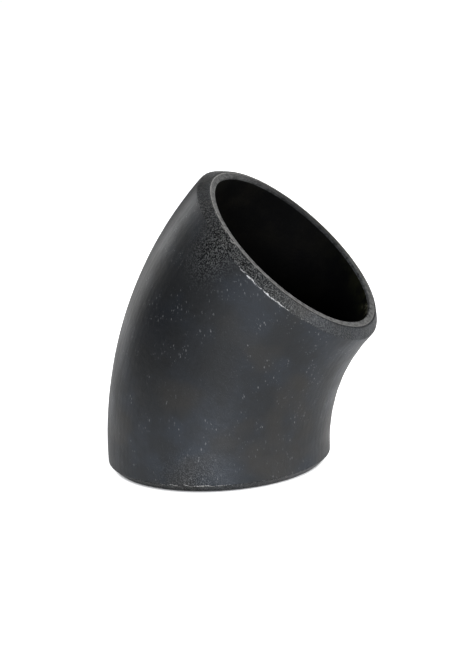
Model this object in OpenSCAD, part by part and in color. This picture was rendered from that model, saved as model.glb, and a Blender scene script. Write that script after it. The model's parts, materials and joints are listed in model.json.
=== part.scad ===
// Butt-weld pipe elbow, long radius, one forged steel piece under a coat of black lacquer.
//
// Frame: the lower end's face lies on Z = 0 with its centre at the origin, and +Z runs up into
// the fitting. The bend lies in the XZ plane and turns towards +X, so the outside of the bend is
// on the -X side. The fitting is symmetric about the XZ plane. Lengths are in millimetres.

/* [Pipe] */
// Outside diameter of the bare steel at the weld ends
pipe_od = 88.9; // [48.3:0.1:168.3]
// Thickness of the steel wall at the weld ends
pipe_wall = 6.3; // [3.2:0.1:11]

/* [Bend] */
// Radius of the bend, measured to the centreline
bend_radius = 114.3; // [95:0.1:240]
// Angle between the two ends
bend_angle = 45; // [15:1:90]
// Straight length between the bend and each end face, machined true
straight_end = 3.5; // [1:0.1:30]
// Extra metal that machining leaves on the bend, on its outside and in its bore
forged_extra = 0.05; // [0.02:0.01:0.08]

/* [Weld ends] */
// Width of the flat land that is left beside the bore
root_face = 3.0; // [0.8:0.1:3.1]
// Angle of the weld bevel, measured from the end face
bevel_angle = 42.5; // [20:0.5:50]
// Radius that breaks the land's corner at the bore
bore_corner = 0.4; // [0.1:0.1:0.7]

/* [Coat] */
// Thickness of the lacquer over the outside of the steel
coat_thickness = 0.1; // [0.1:0.05:0.3]

/* [Hidden] */
$fn = 96;
bore_r = pipe_od / 2 - pipe_wall;
land_r = bore_r + root_face;
// How far a cutting tool stands past the steel that it cuts
tool_over = 2;
// How far the bend and a straight end run into each other
joint_lap = 0.8;

// Places its children at an end face, with +Z running into the fitting and +X towards the
// outside of the bend.
module at_lower_end() {
    rotate([0, 0, 180]) children();
}

module at_upper_end() {
    translate([bend_radius, 0, straight_end])
        rotate([0, bend_angle, 0])
            translate([-bend_radius, 0, straight_end])
                rotate([0, 180, 0]) children();
}

module at_both_ends() {
    at_lower_end() children();
    at_upper_end() children();
}

// A round rod at each end, from height low to height high above the end face.
module end_rods(r, low, high) {
    at_both_ends() translate([0, 0, low]) cylinder(r = r, h = high - low);
}

// A round rod along the bend, run past both of the bend's ends by over.
module bend_rod(r, over) {
    over_angle = over / bend_radius * 180 / PI;
    translate([bend_radius, 0, straight_end])
        rotate([90, 0, 180])
            rotate_extrude(angle = bend_angle + 2 * over_angle, start = -over_angle)
                translate([bend_radius, 0]) circle(r = r);
}

// What the bevelling tool takes off at one end: everything outside the bevel's cone. It stands
// clear of the steel by clear, measured square to the cone.
module bevel_tool(clear) {
    reach = pipe_wall - root_face + tool_over;
    rotate_extrude()
        translate([land_r + clear * sin(bevel_angle), -clear * cos(bevel_angle)])
            polygon([
                [0, -tool_over],
                [reach, -tool_over],
                [reach, reach * tan(bevel_angle)],
                [0, 0]
            ]);
}

// The sharp ring where the land meets the bore, outside a round of radius bore_corner.
module corner_tool() {
    rotate_extrude()
        difference() {
            translate([bore_r - tool_over, -tool_over])
                square(tool_over + bore_corner);
            translate([bore_r + bore_corner, bore_corner]) circle(r = bore_corner);
        }
}

// The solid inside the outer surface, bevels included, moved outwards by clear all over.
module bevelled_rod(clear) {
    difference() {
        union() {
            end_rods(pipe_od / 2 + clear, 0, straight_end + joint_lap);
            bend_rod(pipe_od / 2 + forged_extra + clear, 0);
        }
        at_both_ends() bevel_tool(clear);
    }
}

// The forged body: a bent tube with a bevel, a land and a rounded bore corner at each end.
module elbow_body() {
    color("dimgray")
        difference() {
            bevelled_rod(0);
            end_rods(bore_r, -tool_over, straight_end);
            bend_rod(bore_r - forged_extra, joint_lap);
            at_both_ends() corner_tool();
        }
}

// The lacquer over the outside of the steel and its bevels. It stops at the edge of the land.
module black_coat() {
    color([0.16, 0.16, 0.17])
        difference() {
            bevelled_rod(coat_thickness);
            bevelled_rod(0);
            end_rods(land_r, -tool_over, straight_end);
        }
}

elbow_body();
black_coat();
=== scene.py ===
import json
import math

import bpy
import numpy as np
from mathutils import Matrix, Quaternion, Vector


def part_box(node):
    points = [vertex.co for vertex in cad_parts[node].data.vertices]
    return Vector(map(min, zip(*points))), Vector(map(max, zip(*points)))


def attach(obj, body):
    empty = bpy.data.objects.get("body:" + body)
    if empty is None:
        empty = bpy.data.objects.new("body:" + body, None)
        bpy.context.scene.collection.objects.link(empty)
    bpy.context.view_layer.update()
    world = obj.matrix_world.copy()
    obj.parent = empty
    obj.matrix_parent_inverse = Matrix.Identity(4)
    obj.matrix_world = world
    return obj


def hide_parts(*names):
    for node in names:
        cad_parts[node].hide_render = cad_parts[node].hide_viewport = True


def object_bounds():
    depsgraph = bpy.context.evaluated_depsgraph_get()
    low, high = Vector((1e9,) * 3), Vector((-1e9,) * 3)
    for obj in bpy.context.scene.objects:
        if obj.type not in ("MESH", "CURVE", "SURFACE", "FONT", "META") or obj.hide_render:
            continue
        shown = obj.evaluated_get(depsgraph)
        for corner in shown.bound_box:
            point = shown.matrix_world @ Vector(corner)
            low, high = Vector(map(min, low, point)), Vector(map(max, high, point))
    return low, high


# A 45 degree long-radius butt-weld pipe elbow: a forged steel body under a coat of black lacquer.
#
# The body and the coat are grids of rings swept along the pipe's centreline. A ring is one row of
# a grid. Its columns go round the pipe: angle 0 is the outside of the bend, a quarter turn is +Y.
# A station is a distance along the centreline from the lower end face, and a profile is a list of
# stations, each with the radius of its ring.

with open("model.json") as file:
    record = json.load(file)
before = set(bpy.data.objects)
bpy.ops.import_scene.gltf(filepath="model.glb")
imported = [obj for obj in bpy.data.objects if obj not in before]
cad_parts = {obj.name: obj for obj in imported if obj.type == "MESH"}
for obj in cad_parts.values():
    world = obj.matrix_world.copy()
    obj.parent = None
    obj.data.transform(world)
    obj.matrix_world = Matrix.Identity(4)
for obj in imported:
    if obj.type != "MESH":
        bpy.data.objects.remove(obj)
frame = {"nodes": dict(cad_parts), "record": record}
cad_low, cad_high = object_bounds()

MM = 0.001
AROUND = 512
ANGLES = np.arange(AROUND) * 2 * math.pi / AROUND


# ---- Sizes, all taken from the frame -----------------------------------------------------------


def cad_points(node):
    """The corners of a CAD node's mesh, as rows of x, y and z."""
    vertices = frame["nodes"][node].data.vertices
    flat = np.empty(len(vertices) * 3)
    vertices.foreach_get("co", flat)
    return flat.reshape(-1, 3)


MOUNTS = {mount["name"]: mount for mount in frame["record"]["mounts"]}
BORE_LENGTH = MOUNTS["lower_bore"]["dims"]["length_mm"] * MM
BORE_R = MOUNTS["lower_bore"]["dims"]["r_mm"] * MM
STRAIGHT = MOUNTS["lower_bore"]["pos_m"][2] + BORE_LENGTH / 2
BORE_CORNER = STRAIGHT - BORE_LENGTH
UPPER_CENTRE = MOUNTS["upper_weld_land"]["pos_m"]
UPPER_AXIS = MOUNTS["upper_weld_land"]["axis"]
TURN = math.atan2(UPPER_AXIS[0], UPPER_AXIS[2])
BEND_R = (UPPER_CENTRE[0] - STRAIGHT * math.sin(TURN)) / (1 - math.cos(TURN))
LENGTH = 2 * STRAIGHT + BEND_R * TURN

SLACK = 0.01 * MM
CAD_STEEL = cad_points("elbow_body")
CAD_STEEL_R = np.hypot(CAD_STEEL[:, 0], CAD_STEEL[:, 1])
LAND_R = CAD_STEEL_R[CAD_STEEL[:, 2] < SLACK].max()
END_R = CAD_STEEL_R[CAD_STEEL[:, 2] < STRAIGHT - SLACK].max()
BEVEL_HEIGHT = CAD_STEEL[CAD_STEEL_R > END_R - SLACK][:, 2].min()
WALL_R = -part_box("elbow_body")[0].x
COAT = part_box("elbow_body")[0].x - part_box("black_coat")[0].x
BEND_BORE_R = BORE_R - (WALL_R - END_R)


# ---- Geometry helpers --------------------------------------------------------------------------


def waves(points, size, seed, count=40):
    """Smooth random values, mostly between -1 and 1, whose bumps are about size across."""
    rng = np.random.default_rng(seed)
    total = np.zeros(points.shape[:-1])
    for _ in range(count):
        direction = rng.normal(size=3)
        direction *= rng.uniform(0.6, 1.4) * math.pi / size / np.linalg.norm(direction)
        total += np.cos(points @ direction + rng.uniform(0, 2 * math.pi))
    return total / math.sqrt(count)


def smooth(low, high, value):
    """0 below low, 1 above high, and a smooth step between them."""
    t = np.clip((value - low) / (high - low), 0, 1)
    return t * t * (3 - 2 * t)


def lobe(centre, width):
    """For each angle round the pipe, 1 at centre, falling to 0 over about width either way. Both
    are in degrees."""
    away = (ANGLES - math.radians(centre) + math.pi) % (2 * math.pi) - math.pi
    return np.exp(-((away / math.radians(width)) ** 2))


def lobes(rows, turn=0):
    """The largest of several lobes, each a row of strength, centre and width, moved by a turn."""
    return np.max([strength * lobe(centre + turn, width) for strength, centre, width in rows], 0)


def all_round(column):
    """A value for each ring, repeated round the pipe."""
    return np.repeat(column, AROUND, 1)


def all_along(row, count):
    """A value for each angle, repeated for this many rings."""
    return np.repeat(row[None], count, 0)


def place(station, radius):
    """Points at these distances along the centreline and from it, for each angle round."""
    theta = np.clip((station - STRAIGHT) / BEND_R, 0, TURN)
    past = station - STRAIGHT - BEND_R * theta
    x = BEND_R * (1 - np.cos(theta)) + past * np.sin(theta)
    z = STRAIGHT + BEND_R * np.sin(theta) + past * np.cos(theta)
    outward = radius * np.cos(ANGLES)
    side = radius * np.sin(ANGLES)
    return np.stack([x - outward * np.cos(theta), side, z + outward * np.sin(theta)], -1)


def rings(profile):
    """The grid of points of a profile."""
    return place(all_round(profile[:, :1]), all_round(profile[:, 1:]))


def normals(points):
    """Unit normals of a closed grid of rings, pointing out of the material."""
    along = np.roll(points, -1, 0) - np.roll(points, 1, 0)
    around = np.roll(points, -1, 1) - np.roll(points, 1, 1)
    normal = np.cross(along, around)
    return normal / np.linalg.norm(normal, axis=-1, keepdims=True)


def closed_mesh(name, points, attributes):
    """A ring-shaped mesh that closes both round the pipe and from the last ring to the first."""
    count = len(points)
    ring, column = np.meshgrid(np.arange(count), np.arange(AROUND), indexing="ij")
    next_ring = (ring + 1) % count
    next_column = (column + 1) % AROUND
    corners = [(ring, column), (next_ring, column), (next_ring, next_column), (ring, next_column)]
    faces = np.stack([row * AROUND + step for row, step in corners], -1)
    mesh = bpy.data.meshes.new(name)
    mesh.from_pydata(points.reshape(-1, 3), [], faces.reshape(-1, 4))
    mesh.shade_smooth()
    for label, values in attributes.items():
        layer = mesh.attributes.new(label, "FLOAT", "POINT")
        layer.data.foreach_set("value", values.ravel())
    piece = bpy.data.objects.new(name, mesh)
    bpy.context.scene.collection.objects.link(piece)
    return piece


def set_materials(piece, materials, ring_material):
    """Gives each row of faces the material that ring_material numbers."""
    for material in materials:
        piece.data.materials.append(material)
    numbers = np.repeat(ring_material, AROUND).astype(np.int32)
    piece.data.polygons.foreach_set("material_index", numbers)


# ---- The profile of one end, of the outside and of the bore -------------------------------------

LAND_EDGE = np.array([0, LAND_R])
BEVEL_EDGE = np.array([BEVEL_HEIGHT, END_R])
LAND_EDGE_SOFT = 0.5 * MM
BEVEL_EDGE_SOFT = 0.35 * MM
FORGING_EASE = 4 * MM

# How many rings each part of a profile has
LAND_EDGE_RINGS = 6
BEVEL_RINGS = 9
BEVEL_EDGE_RINGS = 8
BORE_CORNER_RINGS = 6
LAND_RINGS = 5
WALL_RINGS = 84
WALL_INNER_RINGS = 20
BORE_RINGS = 44

# How much closer together the rings stand near the ends, from 0 to 1
WALL_CROWDING = 0.7
BORE_CROWDING = 0.6


def line(start, end, count):
    """Evenly spaced points from start towards end, which is left out."""
    share = np.linspace(0, 1, count, endpoint=False)[:, None]
    return start + (end - start) * share


def soft_corner(before, corner, after, reach, count):
    """Points of a corner worn round over reach on both of its sides."""
    start = corner + (before - corner) / np.linalg.norm(before - corner) * reach
    end = corner + (after - corner) / np.linalg.norm(after - corner) * reach
    t = np.linspace(0, 1, count)[:, None]
    return start * (1 - t) ** 2 + corner * 2 * t * (1 - t) + end * t**2


def end_outside():
    """From the land's outer edge, over the bevel, to the foot of the wall."""
    inner = np.array([0, BORE_R])
    wall = BEVEL_EDGE + (1, 0)
    land_edge = soft_corner(inner, LAND_EDGE, BEVEL_EDGE, LAND_EDGE_SOFT, LAND_EDGE_RINGS)
    bevel_edge = soft_corner(LAND_EDGE, BEVEL_EDGE, wall, BEVEL_EDGE_SOFT, BEVEL_EDGE_RINGS)
    bevel = line(land_edge[-1], bevel_edge[0], BEVEL_RINGS)
    return np.vstack([land_edge[:-1], bevel, bevel_edge])


def end_inside():
    """From the start of the bore, round its corner, to where the land's outer edge begins."""
    turn = np.linspace(0, math.pi / 2, BORE_CORNER_RINGS)[:-1]
    height = BORE_CORNER * (1 - np.sin(turn))
    radius = BORE_R + BORE_CORNER * (1 - np.cos(turn))
    corner = np.stack([height, radius], 1)
    land_start = np.array([0, BORE_R + BORE_CORNER])
    land = line(land_start, LAND_EDGE - (0, LAND_EDGE_SOFT), LAND_RINGS)
    return np.vstack([corner, land])


def upper(profile):
    """The same end profile at the upper end, in the opposite order."""
    return np.stack([LENGTH - profile[::-1, 0], profile[::-1, 1]], 1)


def spread_stations(low, high, count, crowding):
    """Stations between low and high, set closer together near both."""
    share = np.linspace(0, 1, count + 2)[1:-1]
    share = share - crowding * np.sin(2 * math.pi * share) / (2 * math.pi)
    return low + (high - low) * share


def run(stations, end_radius, middle_radius):
    """Profile points whose radius eases from the true ends to the forged middle."""
    from_end = np.minimum(stations, LENGTH - stations)
    eased = smooth(STRAIGHT, STRAIGHT + FORGING_EASE, from_end)
    return np.stack([stations, end_radius + (middle_radius - end_radius) * eased], 1)


def outside_profile(wall_rings):
    """The outside from the lower land's edge to the upper land's edge."""
    end = end_outside()
    foot = end[-1, 0]
    stations = spread_stations(foot, LENGTH - foot, wall_rings, WALL_CROWDING)
    return np.vstack([end, run(stations, END_R, WALL_R), upper(end)])


def bore_profile():
    """The bore from its upper end down to its lower end."""
    stations = spread_stations(BORE_CORNER, LENGTH - BORE_CORNER, BORE_RINGS, BORE_CROWDING)
    return run(stations[::-1], BORE_R, BEND_BORE_R)


# ---- Surface detail of the steel ---------------------------------------------------------------

# Depths below the ideal surface
UNEVEN_DEPTH = 0.10 * MM
DIMPLE_DEPTH = 0.03 * MM
RIPPLE_DEPTH = 0.07 * MM
DIE_LINE_DEPTH = 0.025 * MM
BEVEL_GRAIN_DEPTH = 0.06 * MM
BEVEL_CUT_DEPTH = 0.02 * MM
BORE_LINE_DEPTH = 0.03 * MM

RIPPLE_LENGTH = 13 * MM
RIPPLE_WIDTH = 42
BEVEL_CUTS = 61


def end_distance(profile):
    """How far each ring lies from its nearer end face, as a column."""
    return np.minimum(profile[:, :1], LENGTH - profile[:, :1])


def unevenness(points, size, seed):
    """Shallow hollows about size across, from 0 to 1."""
    return 0.5 + 0.5 * np.clip(waves(points, size, seed), -1, 1)


def die_lines(seed, count):
    """Faint grooves that the mandrel and dies leave along the pipe, as a depth for each angle."""
    rng = np.random.default_rng(seed)
    depth = np.zeros(AROUND)
    for _ in range(count):
        width = rng.uniform(0.7, 2.2)
        depth += rng.uniform(0.2, 1.0) * lobe(rng.uniform(-180, 180), width)
    return depth / depth.max()


def forging_depth(points, profile):
    """How far the forged outside lies below its ideal surface."""
    free = smooth(3 * MM, 12 * MM, end_distance(profile))
    dimples = np.clip(waves(points, 5 * MM, seed=4), 0, 1)
    swing = waves(points, 20 * MM, seed=5)
    ripple = 0.5 + 0.5 * np.sin(2 * math.pi * profile[:, :1] / RIPPLE_LENGTH + swing)
    depth = UNEVEN_DEPTH * unevenness(points, 17 * MM, seed=3)
    depth += DIMPLE_DEPTH * dimples
    depth += RIPPLE_DEPTH * ripple * lobe(180, RIPPLE_WIDTH)
    depth += DIE_LINE_DEPTH * die_lines(seed=6, count=46)
    return free * depth


def bevel_depth(points, profile):
    """How far the torch-cut and ground bevel lies below its ideal cone."""
    height = end_distance(profile)
    past_bevel = smooth(BEVEL_HEIGHT, BEVEL_HEIGHT + 1.2 * MM, height)
    on_bevel = smooth(0, 0.4 * MM, height) * (1 - past_bevel)
    grains = np.clip(0.5 + 0.6 * waves(points, 0.9 * MM, seed=7), 0, 1)
    cuts = 0.5 + 0.5 * np.sin(ANGLES * BEVEL_CUTS + 2 * waves(points, 6 * MM, seed=8))
    return on_bevel * (BEVEL_GRAIN_DEPTH * grains + BEVEL_CUT_DEPTH * cuts)


def steel_outside(profile):
    """The outer surface of the steel and its normals."""
    points = rings(profile)
    inner = rings(profile[::-1] * (1, 0.98))
    normal = normals(np.vstack([points, inner]))[: len(profile)]
    points -= normal * (forging_depth(points, profile) + bevel_depth(points, profile))[..., None]
    return points, normal


def bore_surface(profile):
    """The bore, a little uneven, with die lines of its own."""
    free = smooth(2 * MM, 9 * MM, end_distance(profile))
    depth = UNEVEN_DEPTH * unevenness(rings(profile), 14 * MM, seed=11)
    depth += BORE_LINE_DEPTH * die_lines(seed=12, count=30)
    return place(all_round(profile[:, :1]), profile[:, 1:] + free * depth)


# ---- Wear, finish and painted light round the pipe -----------------------------------------------

# Rows of strength, centre and width, in degrees round the pipe
WORN_SIDES = [(1.0, -101, 36), (0.6, 75, 20), (0.5, 165, 14)]
GRAINY_BEVEL = [(1.0, -80, 42.5), (1.0, 100, 42.5)]
UPPER_PATCHES = [(1.0, -69, 12), (0.7, 118, 18)]
LOWER_PATCHES = [(0.45, -98, 20), (0.5, 40, 20)]

# How far above the end face each edge's wear is centred, and how far it reaches
BEVEL_WEAR_HEIGHT = BEVEL_HEIGHT + 0.1 * MM
BEVEL_WEAR_REACH = 0.4 * MM
LAND_WEAR_HEIGHT = 0.15 * MM
LAND_WEAR_REACH = 0.25 * MM
LAND_WEAR_TURN = 35

COAT_FEATHER = 0.25 * MM
# Over 1, so that where the lacquer is knocked off it lies under the bare steel
COAT_LOSS = 1.35
# How far the steel under the coat, and the coat's inner face, lie below the steel's surface
UNDER_COAT = 0.02 * MM
COAT_INNER = 0.04 * MM


def edge_wear(points, profile, edge_height, reach, turn=0):
    """1 where the edge at this height above an end face is worn most, and 0 away from it. The
    worn sides are moved round the pipe by a turn."""
    wander = 0.7 * reach * waves(points, 1.3 * MM, seed=20)
    away = np.abs(end_distance(profile) - edge_height - wander)
    rubbed = 0.06 + 0.94 * lobes(WORN_SIDES, turn)
    patchy = 0.60 + 0.18 * waves(points, 1.1 * MM, seed=21)
    patchy += 0.14 * waves(points, 5 * MM, seed=23)
    return np.clip(patchy * rubbed - 0.6 * away / reach, 0, 1)


def coat_wear(points, profile):
    """How worn the lacquer is along the bevel's edge and the land's edge."""
    bevel = edge_wear(points, profile, BEVEL_WEAR_HEIGHT, BEVEL_WEAR_REACH)
    land = edge_wear(points, profile, LAND_WEAR_HEIGHT, LAND_WEAR_REACH, LAND_WEAR_TURN)
    return np.maximum(bevel, 0.9 * land)


def coat_thickness(profile, wear):
    """The lacquer feathers out at the land, thins over worn edges and is gone where it is bare."""
    feather = smooth(0, COAT_FEATHER, end_distance(profile))
    return COAT * feather * (1 - COAT_LOSS * smooth(0.25, 0.8, wear))


def coarse_patches(profile):
    """Where the lacquer dried coarse and grainy: all of both bevels, and patches beside them."""
    height = end_distance(profile)
    on_bevel = 1 - smooth(BEVEL_HEIGHT, BEVEL_HEIGHT + 0.6 * MM, height)
    bevel = on_bevel * (0.3 + 0.35 * lobes(GRAINY_BEVEL))
    beside = 1 - smooth(2 * MM, 27 * MM, height)
    at_upper = profile[:, :1] > LENGTH / 2
    patches = np.where(at_upper, lobes(UPPER_PATCHES), lobes(LOWER_PATCHES))
    return np.maximum(bevel, 0.9 * beside * patches)


def painted_light_tone(profile):
    """How light the lacquer is: painted light and shade on its front left, where it is lighter
    at the foot and darker half way up."""
    station = profile[:, :1]
    foot = 1 - smooth(8 * MM, 50 * MM, station)
    middle = np.exp(-(((station - 56 * MM) / (17 * MM)) ** 2))
    return 1 + lobe(-72, 42) * (0.75 * foot - 0.6 * middle)


def streaks(seed, slowest, fastest, count):
    """Lengthwise streaks: a smooth random value for each angle, mostly between -1 and 1."""
    rng = np.random.default_rng(seed)
    total = np.zeros(AROUND)
    for _ in range(count):
        total += np.cos(ANGLES * rng.integers(slowest, fastest) + rng.uniform(0, 2 * math.pi))
    return total / math.sqrt(count)


# ---- The two pieces ----------------------------------------------------------------------------

UNDER_LACQUER, LAND, BORE = range(3)


def make_body():
    """The forged body, one closed surface: outside, upper land, bore, lower land."""
    outside = outside_profile(WALL_RINGS)
    inside = end_inside()
    bore = bore_profile()
    parts = [outside, upper(inside), bore, inside]
    steel, normal = steel_outside(outside)
    steel[1:-1] -= normal[1:-1] * UNDER_COAT
    points = np.vstack([steel, rings(upper(inside)), bore_surface(bore), rings(inside)])
    zone = np.repeat([UNDER_LACQUER, LAND, BORE, LAND], [len(part) for part in parts])
    loop = np.vstack(parts)
    attributes = {
        "radius_mm": all_round(loop[:, 1:]) / MM,
        "end_mm": all_round(end_distance(loop)) / MM,
        "bend_side": all_along(lobe(180, 45), len(loop)),
        "land_rubbed": all_along(1 - 0.9 * lobe(70, 75), len(loop)),
    }
    body = closed_mesh("forged_body", points, attributes)
    set_materials(body, [bare_steel(), ground_land(), bore_scale_light_and_shade()], zone)
    return body


def make_coat():
    """The lacquer, a closed skin: its outer face, then its inner face just inside the steel."""
    outer = outside_profile(WALL_RINGS)
    inner = outside_profile(WALL_INNER_RINGS)
    steel, normal = steel_outside(outer)
    wear = coat_wear(steel, outer)
    outer_face = steel + normal * coat_thickness(outer, wear)[..., None]
    inner_steel, inner_normal = steel_outside(inner)
    inner_face = (inner_steel - inner_normal * COAT_INNER)[::-1]
    points = np.vstack([outer_face, inner_face])
    hidden = np.zeros(inner_face.shape[:-1])
    attributes = {
        "wear": np.vstack([wear, hidden]),
        "coarse": np.vstack([coarse_patches(outer), hidden]),
        "streak": all_along(streaks(seed=31, slowest=24, fastest=150, count=60), len(points)),
        # Painted light and shade: lighter at the foot and darker half way up on the front left
        "tone": np.vstack([painted_light_tone(outer), hidden]),
    }
    coat = closed_mesh("lacquer_coat", points, attributes)
    set_materials(coat, [black_lacquer()], np.zeros(len(points)))
    return coat


# ---- Material helpers --------------------------------------------------------------------------


class Shader:
    """A material under construction, with short calls for the nodes that it is made of."""

    def __init__(self, name):
        self.material = bpy.data.materials.new(name)
        self.material.use_nodes = True
        self.tree = self.material.node_tree
        self.tree.nodes.clear()
        self.position = self.node("ShaderNodeTexCoord").outputs["Object"]

    def node(self, kind, inputs=None, **settings):
        """Adds a node, with values or links for its inputs."""
        made = self.tree.nodes.new(kind)
        for key, value in settings.items():
            setattr(made, key, value)
        for key, value in (inputs or {}).items():
            if isinstance(value, bpy.types.NodeSocket):
                self.tree.links.new(value, made.inputs[key])
            else:
                made.inputs[key].default_value = value
        return made

    def attribute(self, name):
        """A value stored on the mesh."""
        return self.node("ShaderNodeAttribute", attribute_name=name).outputs["Fac"]

    def drawn_out(self, share):
        """The position with only this share of its height, which draws detail out along Z."""
        inputs = {0: self.position, 1: (1, 1, share)}
        return self.node("ShaderNodeVectorMath", inputs, operation="MULTIPLY").outputs[0]

    def noise(self, size_mm, detail=3.0, roughness=0.5, position=None):
        """Noise whose features are about size_mm across."""
        inputs = {
            "Vector": position or self.position,
            "Scale": 1 / (size_mm * MM),
            "Detail": detail,
            "Roughness": roughness,
        }
        return self.node("ShaderNodeTexNoise", inputs).outputs["Fac"]

    def cells(self, size_mm, position):
        """How far each point is from the nearest of many scattered dots, in cell sizes."""
        inputs = {"Vector": position, "Scale": 1 / (size_mm * MM)}
        return self.node("ShaderNodeTexVoronoi", inputs).outputs["Distance"]

    def math(self, operation, first, second=0.0):
        """One arithmetic step."""
        return self.node("ShaderNodeMath", {0: first, 1: second}, operation=operation).outputs[0]

    def times(self, first, second):
        """The product of two numbers."""
        return self.math("MULTIPLY", first, second)

    def larger(self, first, second):
        """The larger of two numbers."""
        return self.math("MAXIMUM", first, second)

    def step(self, value, low, high, out_low=0.0, out_high=1.0):
        """A smooth change from out_low to out_high as value goes from low to high."""
        inputs = {
            "Value": value,
            "From Min": low,
            "From Max": high,
            "To Min": out_low,
            "To Max": out_high,
        }
        made = self.node("ShaderNodeMapRange", inputs, interpolation_type="SMOOTHSTEP")
        return made.outputs["Result"]

    def mix(self, share, first, second):
        """Blends two numbers."""
        inputs = {0: share, 2: first, 3: second}
        return self.node("ShaderNodeMix", inputs, data_type="FLOAT").outputs[0]

    def blend(self, share, first, second):
        """Blends two colours."""
        first = (*first, 1) if isinstance(first, tuple) else first
        second = (*second, 1) if isinstance(second, tuple) else second
        inputs = {0: share, 6: first, 7: second}
        return self.node("ShaderNodeMix", inputs, data_type="RGBA").outputs[2]

    def scale(self, colour, factor):
        """A colour made lighter or darker by a factor."""
        inputs = {0: colour, 3: factor}
        return self.node("ShaderNodeVectorMath", inputs, operation="SCALE").outputs[0]

    def bump(self, height, depth_mm, normal=None):
        """Surface relief of this depth, laid over the relief in normal."""
        inputs = {"Height": height, "Distance": depth_mm * MM, "Strength": 1.0}
        if normal:
            inputs["Normal"] = normal
        return self.node("ShaderNodeBump", inputs).outputs["Normal"]

    def finish(self, **inputs):
        """Adds the surface shader and returns the finished material."""
        names = {key.replace("_", " "): value for key, value in inputs.items()}
        shader = self.node("ShaderNodeBsdfPrincipled", names)
        output = self.node("ShaderNodeOutputMaterial")
        self.tree.links.new(shader.outputs["BSDF"], output.inputs["Surface"])
        return self.material


# ---- Materials ---------------------------------------------------------------------------------

# Colours, as linear red, green and blue
BLACK = (0, 0, 0)
LACQUER = (0.0115, 0.0125, 0.0135)
LACQUER_COOL = (0.016, 0.019, 0.0235)
LACQUER_WARM = (0.022, 0.0195, 0.016)
# Near black: painted shade in the hollows of coarse lacquer
LACQUER_PIT_SHADE = (0.001, 0.001, 0.001)
LACQUER_GRAIN = (0.095, 0.096, 0.092)
SPECK = (0.17, 0.172, 0.172)
CHIPPED = (0.30, 0.295, 0.285)
STEEL_DULL = (0.24, 0.235, 0.225)
STEEL_BRIGHT = (0.42, 0.415, 0.40)
MIST = (0.010, 0.010, 0.010)
MIST_THIN = (0.035, 0.035, 0.033)
MIST_PATCH = (0.050, 0.048, 0.043)
GROUND_STEEL = (0.42, 0.42, 0.41)
# Bore colours: near black scale, partly painted shade, and an olive brown patch, partly painted
# light
MILL_SCALE_AND_SHADE = (0.0014, 0.0014, 0.0014)
MILL_SCALE_AND_SHADE_PATCH = (0.0030, 0.0028, 0.0022)
RUST_AND_LIGHT = (0.022, 0.023, 0.008)
PAINTED_LIGHT_ON_RUST = (0.12, 0.115, 0.080)
PAPER = (0.8, 0.8, 0.8, 1)
WHITE = (1, 1, 1, 1)

# The spacing of the turning marks on a land, in millimetres
TURNING_PITCH = 0.22


def black_lacquer():
    """Satin black lacquer over forged steel: patchy and specked, worn to metal at the edges,
    with painted light and shade on its front left and painted shade in the hollows of its grain.
    """
    s = Shader("black_lacquer")
    patch = s.step(s.noise(16, 3, 0.55), 0.38, 0.66)
    warm = s.step(s.noise(24, 2), 0.50, 0.68)
    colour = s.blend(patch, LACQUER, LACQUER_COOL)
    colour = s.blend(s.times(warm, 0.6), colour, LACQUER_WARM)
    # Painted light and shade on the front left: lighter at the foot, darker half way up
    colour = s.scale(colour, s.attribute("tone"))

    # Light specks in loose clusters, drawn out along the pipe
    coarse = s.attribute("coarse")
    cluster = s.step(s.noise(8, 4, 0.65), 0.48, 0.64)
    cluster = s.larger(cluster, s.times(coarse, 0.8))
    drawn_out = s.drawn_out(0.45)
    flecks = s.step(s.noise(0.6, 2, 0.6, drawn_out), 0.65, 0.71)
    dots = s.step(s.cells(1.35, drawn_out), 0.11, 0.21, 1.0, 0.0)
    speck = s.times(s.larger(flecks, dots), cluster)
    colour = s.blend(s.times(speck, 0.7), colour, SPECK)

    # Light grains, and dark hollows between them whose darkness is painted shade, where the lacquer
    # is coarse
    coarse_share = s.step(coarse, 0, 0.9)
    grain = s.step(s.noise(0.55, 3, 0.65), 0.44, 0.64)
    colour = s.blend(coarse_share, colour, s.blend(grain, LACQUER_PIT_SHADE, LACQUER_GRAIN))
    pit_shade = s.times(s.math("SUBTRACT", 1.0, grain), coarse_share)

    # Bare metal along the worn edges
    rub = s.math("ADD", s.attribute("wear"), s.times(s.noise(0.5, 3, 0.65), 1.3))
    bare = s.step(rub, 1.06, 1.18)
    colour = s.blend(bare, colour, CHIPPED)
    metal = s.larger(bare, s.times(speck, 0.55))
    # Painted shade: the dark hollows are made metallic as well as near black, so they show no sheen
    metal = s.larger(metal, s.times(pit_shade, 0.8))

    streak = s.attribute("streak")
    roughness = s.mix(patch, 0.41, 0.35)
    roughness = s.mix(s.step(streak, -1.2, 1.2), s.math("ADD", roughness, 0.04), roughness)
    roughness = s.mix(s.times(coarse, 0.6), roughness, 0.56)
    roughness = s.mix(metal, roughness, 0.45)

    relief = s.bump(streak, 0.006)
    relief = s.bump(s.noise(2.6, 3, 0.55), 0.10, relief)
    relief = s.bump(s.noise(0.7, 3, 0.6), 0.035, relief)
    relief = s.bump(s.times(grain, coarse), 0.12, relief)
    relief = s.bump(speck, 0.03, relief)
    return s.finish(Base_Color=colour, Roughness=roughness, Metallic=metal, Normal=relief, IOR=1.4)


def bare_steel():
    """Bright steel that shows where the lacquer has been knocked off."""
    s = Shader("bare_steel")
    tone = s.step(s.noise(0.6, 3, 0.6), 0.35, 0.65)
    colour = s.blend(tone, STEEL_DULL, STEEL_BRIGHT)
    roughness = s.mix(tone, 0.52, 0.42)
    relief = s.bump(s.noise(0.3, 2), 0.01)
    return s.finish(Base_Color=colour, Metallic=1.0, Roughness=roughness, Normal=relief)


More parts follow.
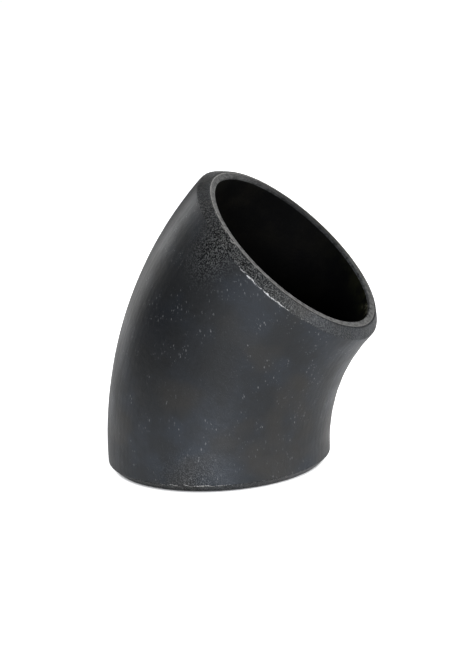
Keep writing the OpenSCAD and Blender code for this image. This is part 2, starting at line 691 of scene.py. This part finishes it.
def ground_land():
    """The narrow ground face beside the bore, dulled by lacquer mist, with fine turning marks. It
    is darker towards the bore, and bare steel shines through where it has been rubbed."""
    s = Shader("ground_land")
    radius = s.attribute("radius_mm")
    turning = s.math("SINE", s.times(radius, 2 * math.pi / TURNING_PITCH))
    mist = s.step(s.noise(1.1, 4, 0.65), 0.36, 0.62)
    patch = s.step(s.noise(9, 2), 0.35, 0.65)
    outward = s.step(radius, BORE_R / MM, LAND_R / MM)
    colour = s.blend(mist, MIST, MIST_THIN)
    colour = s.blend(s.times(patch, 0.5), colour, MIST_PATCH)
    colour = s.blend(outward, s.blend(0.8, colour, BLACK), colour)
    worn_through = s.step(s.noise(1.5, 3, 0.6), 0.30, 0.62, 0.08, 0.40)
    shine = s.times(s.attribute("land_rubbed"), worn_through)
    colour = s.blend(shine, colour, GROUND_STEEL)
    relief = s.bump(turning, 0.006)
    relief = s.bump(s.noise(0.6, 3, 0.6), 0.05, relief)
    roughness = s.mix(mist, 0.38, 0.50)
    metal = s.times(shine, 0.7)
    return s.finish(Base_Color=colour, Metallic=metal, Roughness=roughness, Normal=relief, IOR=1.2)


def bore_scale_light_and_shade():
    """Mill scale in the bore, made near black, which is partly painted shade. Near the mouths
    inside the bend it has an olive brown patch, partly rusty and partly a painted pool of light.
    """
    s = Shader("bore_scale_light_and_shade")
    patch = s.step(s.noise(13, 4, 0.6), 0.42, 0.66)
    # Painted light near the mouths inside the bend, over a real rusty tint
    mouth = s.step(s.attribute("end_mm"), 1.0, 12.0, 1.0, 0.0)
    rust_and_light = s.times(mouth, s.step(s.noise(7, 3, 0.6), 0.38, 0.60))
    rust_and_light = s.times(rust_and_light, s.attribute("bend_side"))
    painted_light_patch = s.times(s.step(rust_and_light, 0.35, 0.8), s.step(s.noise(3.5, 3, 0.6), 0.42, 0.58))
    # The scale's near black is partly painted shade
    colour = s.blend(patch, MILL_SCALE_AND_SHADE, MILL_SCALE_AND_SHADE_PATCH)
    colour = s.blend(rust_and_light, colour, RUST_AND_LIGHT)
    colour = s.blend(painted_light_patch, colour, PAINTED_LIGHT_ON_RUST)
    relief = s.bump(s.noise(1.3, 4, 0.6), 0.08)
    roughness = s.mix(patch, 0.66, 0.76)
    return s.finish(Base_Color=colour, Roughness=roughness, Normal=relief, IOR=1.12)


def white_floor():
    """A plain white light table. It is paler to the camera than to the part, so that the part's
    dark lacquer isn't washed out. It gives no light under the part, and seen through the bore it
    is grey, as a floor in the part's shade would be."""
    s = Shader("white_floor")
    seen = s.node("ShaderNodeLightPath").outputs["Is Camera Ray"]
    away = s.node("ShaderNodeVectorMath", {0: s.position}, operation="LENGTH").outputs["Value"]
    outside = s.step(away, LAND_R, LAND_R + 2 * MM)
    shown = s.mix(outside, FLOOR_SHADED, FLOOR_WHITE)
    glow = s.mix(seen, s.times(outside, FLOOR_GLOW), shown)
    return s.finish(Base_Color=PAPER, Emission_Color=WHITE, Emission_Strength=glow, IOR=1.1)


# ---- Stage, lights and camera ------------------------------------------------------------------

FLOOR_SIDE = 60.0
FLOOR_DROP = 0.1 * MM
# How bright the floor and the surround are, to the camera and to the part
FLOOR_WHITE = 1.0
FLOOR_SHADED = 0.2
FLOOR_GLOW = 0.35
SURROUND_WHITE = 1.0
SURROUND_GLOW = 0.05


def make_floor():
    """A plain floor under the part."""
    half = FLOOR_SIDE / 2
    corners = [(-half, -half, 0), (half, -half, 0), (half, half, 0), (-half, half, 0)]
    mesh = bpy.data.meshes.new("floor")
    mesh.from_pydata(corners, [], [(0, 1, 2, 3)])
    floor = bpy.data.objects.new("floor", mesh)
    floor.location.z = -FLOOR_DROP
    mesh.materials.append(white_floor())
    bpy.context.scene.collection.objects.link(floor)


def direction(azimuth, elevation):
    """The unit vector from the part towards this azimuth and elevation, in degrees."""
    a = math.radians(azimuth)
    e = math.radians(elevation)
    return Vector((math.sin(a) * math.cos(e), -math.cos(a) * math.cos(e), math.sin(e)))


LIGHT_DISTANCE = 1.5
DAYLIGHT = (0.95, 1.0, 1.10)
NEUTRAL = (1, 1, 1)

# The key light is in front and low, with weaker ones to both sides and behind. Each row has a
# name, azimuth, elevation, width, height, power and colour.
SOFT_BOXES = [
    ("front_box", 20, 5, 0.4, 0.36, 17, DAYLIGHT),
    ("left_box", -118, 12, 0.5, 0.7, 2.4, NEUTRAL),
    ("left_high_box", -95, 35, 0.6, 0.6, 1.2, NEUTRAL),
    ("left_top_box", -120, 55, 0.6, 0.6, 4, NEUTRAL),
    ("right_low_box", 75, 8, 0.4, 0.4, 7, NEUTRAL),
    ("right_box", 92, 25, 0.6, 0.6, 13, NEUTRAL),
    ("back_box", 165, 40, 0.8, 0.8, 2.5, NEUTRAL),
    ("back_low_box", 202, 14, 0.5, 0.4, 0.9, NEUTRAL),
]


def soft_box(name, azimuth, elevation, width, height, power, colour):
    """A rectangular studio light that faces the part."""
    data = bpy.data.lights.new(name, "AREA")
    data.color = colour
    data.shape = "RECTANGLE"
    data.size = width
    data.size_y = height
    data.energy = power
    light = bpy.data.objects.new(name, data)
    middle = (cad_low + cad_high) / 2
    away = direction(azimuth, elevation)
    light.location = middle + away * LIGHT_DISTANCE
    light.rotation_mode = "QUATERNION"
    light.rotation_quaternion = away.to_track_quat("Z", "Y")
    light.visible_camera = False
    bpy.context.scene.collection.objects.link(light)


def make_world():
    """A plain surround, white to the camera and dim to the part."""
    world = bpy.data.worlds.new("surround")
    world.use_nodes = True
    nodes = world.node_tree.nodes
    seen = nodes.new("ShaderNodeLightPath").outputs["Is Camera Ray"]
    strength = nodes.new("ShaderNodeMapRange")
    strength.inputs["To Min"].default_value = SURROUND_GLOW
    strength.inputs["To Max"].default_value = SURROUND_WHITE
    background = nodes["Background"]
    background.inputs["Color"].default_value = WHITE
    world.node_tree.links.new(seen, strength.inputs["Value"])
    world.node_tree.links.new(strength.outputs["Result"], background.inputs["Strength"])
    bpy.context.scene.world = world


CAMERA_AZIMUTH = 22.28
CAMERA_ELEVATION = 12.11
CAMERA_ROLL = -3.09
CAMERA_DISTANCE = 627.3 * MM
CAMERA_LENS = 89.03
CAMERA_SENSOR = 36
CAMERA_NEAREST = 0.01
CAMERA_FARTHEST = 50
AIM = Vector((12.7 * MM, -4.5 * MM, 56.8 * MM))


def make_camera():
    """A long lens, a little above the part and turned slightly about its own axis."""
    data = bpy.data.cameras.new("camera")
    data.lens = CAMERA_LENS
    data.sensor_width = CAMERA_SENSOR
    data.clip_start = CAMERA_NEAREST
    data.clip_end = CAMERA_FARTHEST
    camera = bpy.data.objects.new("camera", data)
    away = direction(CAMERA_AZIMUTH, CAMERA_ELEVATION)
    camera.location = AIM + away * CAMERA_DISTANCE
    camera.rotation_mode = "QUATERNION"
    roll = Quaternion((0, 0, 1), math.radians(CAMERA_ROLL))
    camera.rotation_quaternion = away.to_track_quat("Z", "Y") @ roll
    bpy.context.scene.collection.objects.link(camera)
    bpy.context.scene.camera = camera


def add_piece(piece, node):
    """Puts a finished piece on the part's one body, in place of its plain CAD node."""
    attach(piece, "root")
    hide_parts(node)


make_camera()
add_piece(make_body(), "elbow_body")
add_piece(make_coat(), "black_coat")
make_floor()
make_world()
for row in SOFT_BOXES:
    soft_box(*row)
bpy.context.scene.view_settings.view_transform = "Standard"
